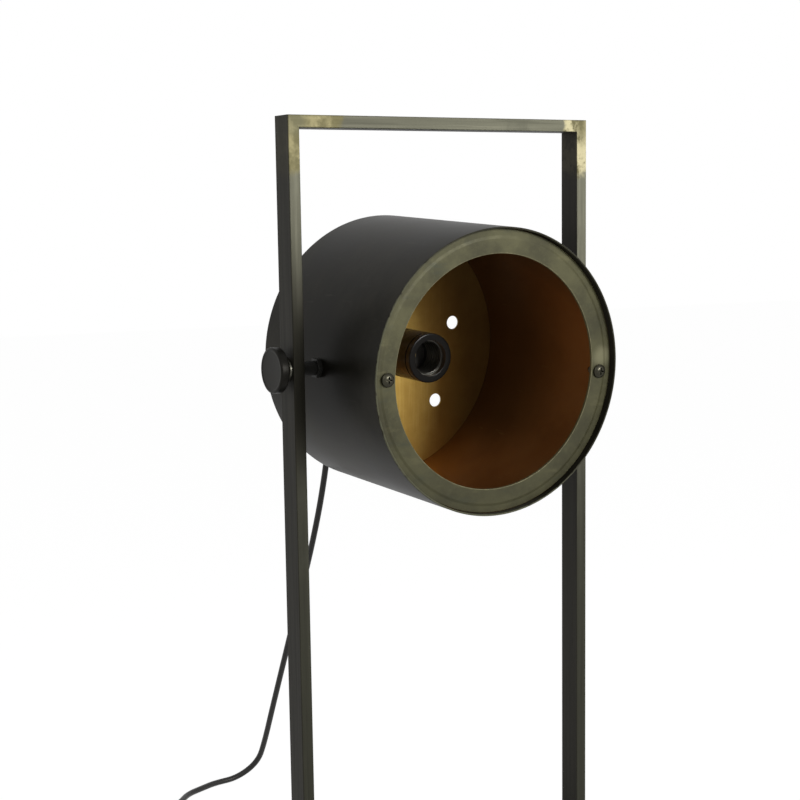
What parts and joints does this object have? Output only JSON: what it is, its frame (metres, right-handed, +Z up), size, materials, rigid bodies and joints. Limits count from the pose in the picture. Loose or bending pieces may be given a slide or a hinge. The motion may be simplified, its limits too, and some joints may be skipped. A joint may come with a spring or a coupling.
{
  "type": "tabletop searchlight lamp",
  "caption": "Drum-shaped searchlight head that tilts between the posts of a tall rectangular tube frame and is clamped by side knobs, with a screw lampholder, cord, rocker switch and plug.",
  "frame": {"origin": "on the table, below the middle of the frame", "axes": "+X across the frame along the tilt axis, the lamp faces -Y, +Z up"},
  "size_m": [0.302, 0.4702, 0.6289],
  "materials": {
    "frame_steel": "darkened mild steel, worn to a warm grey",
    "foot_rubber": "matt black",
    "zinc_steel": "plain zinc-plated fasteners",
    "bush_brass": "turned",
    "drum_steel": "satin black-brown enamel on sheet steel",
    "plate_brass": "warm gold, brushed",
    "ring_brass": "dull olive patina",
    "black_steel": "blackened",
    "phenolic": "black phenolic moulding",
    "shell_brass": "thin drawn brass",
    "ceramic": "unglazed insulator",
    "contact_brass": "bright",
    "core_wire": "stranded copper",
    "gland_black": "moulded cord grip",
    "cord_black": "round black sheath",
    "knob_black": "moulded clamp knob",
    "hub_steel": "turned",
    "switch_black": "moulded",
    "plug_black": "moulded",
    "pin_nickel": "nickel-plated"
  },
  "bodies": {
    "frame": {"left_post": "frame_steel", "right_post": "frame_steel", "top_bar": "frame_steel", "left_rail": "frame_steel", "right_rail": "frame_steel", "rear_rail": "frame_steel", "front_rail": "frame_steel", "rubber_feet": "foot_rubber", "foot_screws": "zinc_steel", "left_bush": "bush_brass", "right_bush": "bush_brass", "cord_drop": "cord_black", "cord_run": "cord_black", "cord_link": "cord_black", "cord_coil": "cord_black", "cord_tail": "cord_black", "switch_base": "switch_black", "switch_cover": "switch_black", "rocker_pin": "hub_steel", "switch_contacts": "contact_brass", "switch_screws": "zinc_steel", "plug_body": "plug_black", "plug_pins": "pin_nickel"},
    "head": {"drum_shell": "drum_steel", "rear_plate": "plate_brass", "front_ring": "ring_brass", "ring_brackets": "black_steel", "ring_nuts": "zinc_steel", "ring_screws": "zinc_steel", "pivot_studs": "zinc_steel", "pivot_nuts": "black_steel", "pivot_spacers": "black_steel", "holder_skirt": "phenolic", "thread_shell": "shell_brass", "contact_block": "ceramic", "centre_contact": "contact_brass", "holder_cap": "phenolic", "terminals": "contact_brass", "cord_cores": "core_wire", "holder_nipple": "zinc_steel", "lock_nuts": "zinc_steel", "cord_gland": "gland_black", "cord_inner": "cord_black"},
    "left_slider": {"left_washer": "hub_steel"},
    "left_knob": {"left_knob_hub": "hub_steel", "left_knob": "knob_black"},
    "right_slider": {"right_washer": "hub_steel"},
    "right_knob": {"right_knob_hub": "hub_steel", "right_knob": "knob_black"},
    "switch_rocker": {"switch_rocker": "switch_black"}
  },
  "joints": [
    {"name": "tilt", "type": "hinge", "parent": "frame", "child": "head", "pos_m": [0, 0, 0.44], "axis": [1, 0, 0], "range_deg": [-93.6, 86.4], "deforming": ["cord_drop"]},
    {"name": "left_clamp_slide", "type": "slide", "parent": "head", "child": "left_slider", "axis": [-1, 0, 0], "range_m": [0, 0.00125]},
    {"name": "left_clamp_turn", "type": "hinge", "parent": "left_slider", "child": "left_knob", "pos_m": [-0.147, 0, 0.44], "axis": [-1, 0, 0], "range_deg": [0, 361]},
    {"name": "right_clamp_slide", "type": "slide", "parent": "head", "child": "right_slider", "axis": [1, 0, 0], "range_m": [0, 0.00125]},
    {"name": "right_clamp_turn", "type": "hinge", "parent": "right_slider", "child": "right_knob", "pos_m": [0.147, 0, 0.44], "axis": [1, 0, 0], "range_deg": [0, 361]},
    {"name": "switch_rock", "type": "hinge", "parent": "frame", "child": "switch_rocker", "pos_m": [-0.128, 0.231, 0.011], "axis": [-1, 0, 0], "range_deg": [0, 16]}
  ],
  "couplings": [
    {"joint": "left_clamp_turn", "follows": "left_clamp_slide", "rad_per_m": 5026.5},
    {"joint": "right_clamp_turn", "follows": "right_clamp_slide", "rad_per_m": 5026.5}
  ]
}
